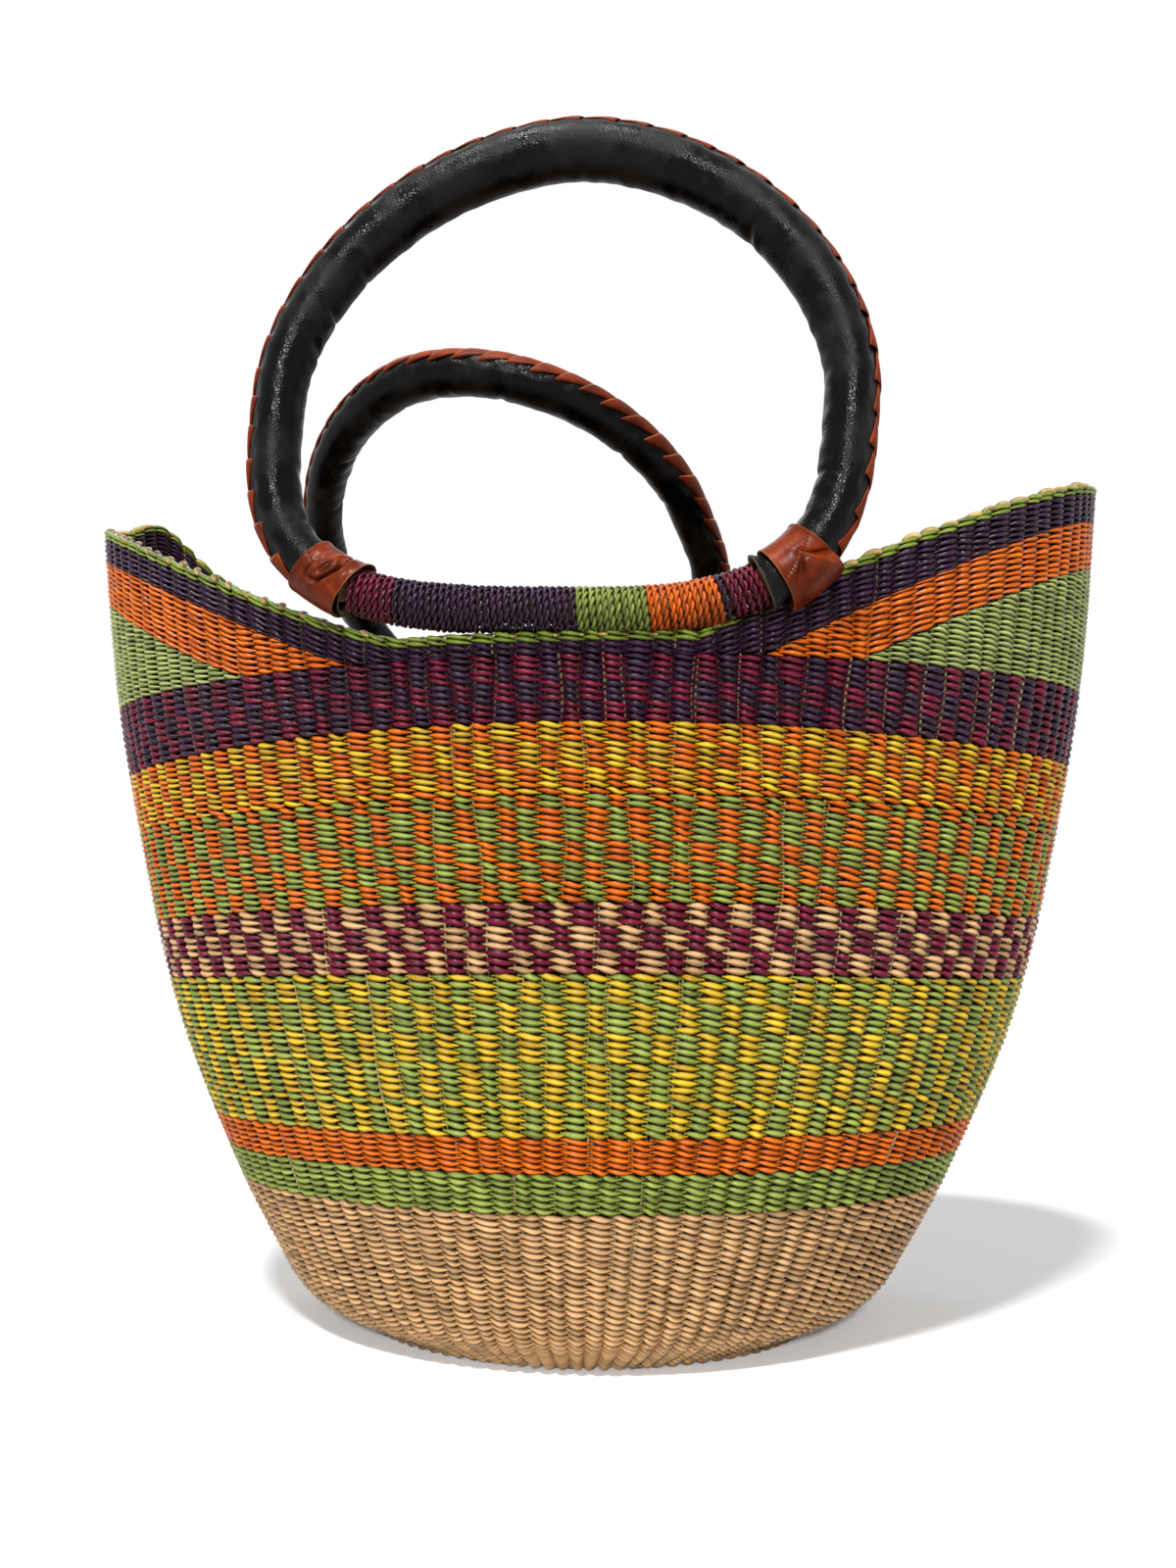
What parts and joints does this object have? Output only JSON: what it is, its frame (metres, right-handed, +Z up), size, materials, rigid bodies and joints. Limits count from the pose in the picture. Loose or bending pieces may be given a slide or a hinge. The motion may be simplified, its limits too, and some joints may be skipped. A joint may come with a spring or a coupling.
{
  "type": "market basket",
  "caption": "Twined grass market basket with raised wings, woven colour bands and two leather-covered ring handles that swing on the rim.",
  "frame": {"origin": "centre of the flat base, on the surface the basket stands on", "axes": "+X towards the viewer's right, from wing to wing; -Y towards the viewer, out of the front long side; +Z up"},
  "size_m": [0.3983, 0.2543, 0.4081],
  "materials": {
    "grass_natural": "matte twined grass",
    "grass_green": "matte twined grass",
    "grass_orange": "matte twined grass",
    "grass_green_yellow": "matte twined grass",
    "grass_purple_natural": "matte twined grass",
    "grass_green_orange": "matte twined grass",
    "grass_orange_yellow": "matte twined grass",
    "grass_magenta_purple": "matte twined grass",
    "grass_dark_purple": "matte twined grass",
    "grass_rim_green": "matte twined grass",
    "straw": "matte split straw",
    "reed": "matte reed bundle",
    "leather_black": "semi-gloss black leather, softly wrinkled",
    "leather_brown": "brown leather lace with pale cut edges",
    "leather_cuff": "glossy reddish brown leather",
    "wrap_magenta": "twisted grass cord",
    "wrap_purple": "twisted grass cord",
    "wrap_green": "twisted grass cord",
    "wrap_orange": "twisted grass cord"
  },
  "bodies": {
    "basket_body": {"base_disc": "grass_natural", "natural_wall": "grass_natural", "lower_green_band": "grass_green", "lower_orange_band": "grass_orange", "green_yellow_band": "grass_green_yellow", "purple_natural_band": "grass_purple_natural", "green_orange_band": "grass_green_orange", "orange_yellow_band": "grass_orange_yellow", "magenta_purple_band": "grass_magenta_purple", "left_green_wedge": "grass_green", "right_green_wedge": "grass_green", "left_orange_wedge": "grass_orange", "right_orange_wedge": "grass_orange", "dark_purple_band": "grass_dark_purple", "green_rim": "grass_rim_green", "turned_stake_ends": "straw"},
    "front_handle": {"front_ring_core": "reed", "front_leather_cover": "leather_black", "front_edge_lacing": "leather_brown", "front_left_cuff": "leather_cuff", "front_right_cuff": "leather_cuff", "front_wrap_magenta_left": "wrap_magenta", "front_wrap_purple": "wrap_purple", "front_wrap_green": "wrap_green", "front_wrap_orange": "wrap_orange", "front_wrap_magenta_right": "wrap_magenta"},
    "back_handle": {"back_ring_core": "reed", "back_leather_cover": "leather_black", "back_edge_lacing": "leather_brown", "back_left_cuff": "leather_cuff", "back_right_cuff": "leather_cuff", "back_wrap_magenta_left": "wrap_magenta", "back_wrap_purple": "wrap_purple", "back_wrap_green": "wrap_green", "back_wrap_orange": "wrap_orange", "back_wrap_magenta_right": "wrap_magenta"}
  },
  "joints": [
    {"name": "front_handle_swing", "type": "hinge", "parent": "basket_body", "child": "front_handle", "pos_m": [-0.0055, -0.10264, 0.23877], "axis": [-0.9994, 0, 0.0349], "range_deg": [-80, 0]},
    {"name": "back_handle_swing", "type": "hinge", "parent": "basket_body", "child": "back_handle", "pos_m": [-0.018, 0.10723, 0.2679], "axis": [0.9152, -0.3969, 0.0703], "range_deg": [-65, 0]}
  ]
}
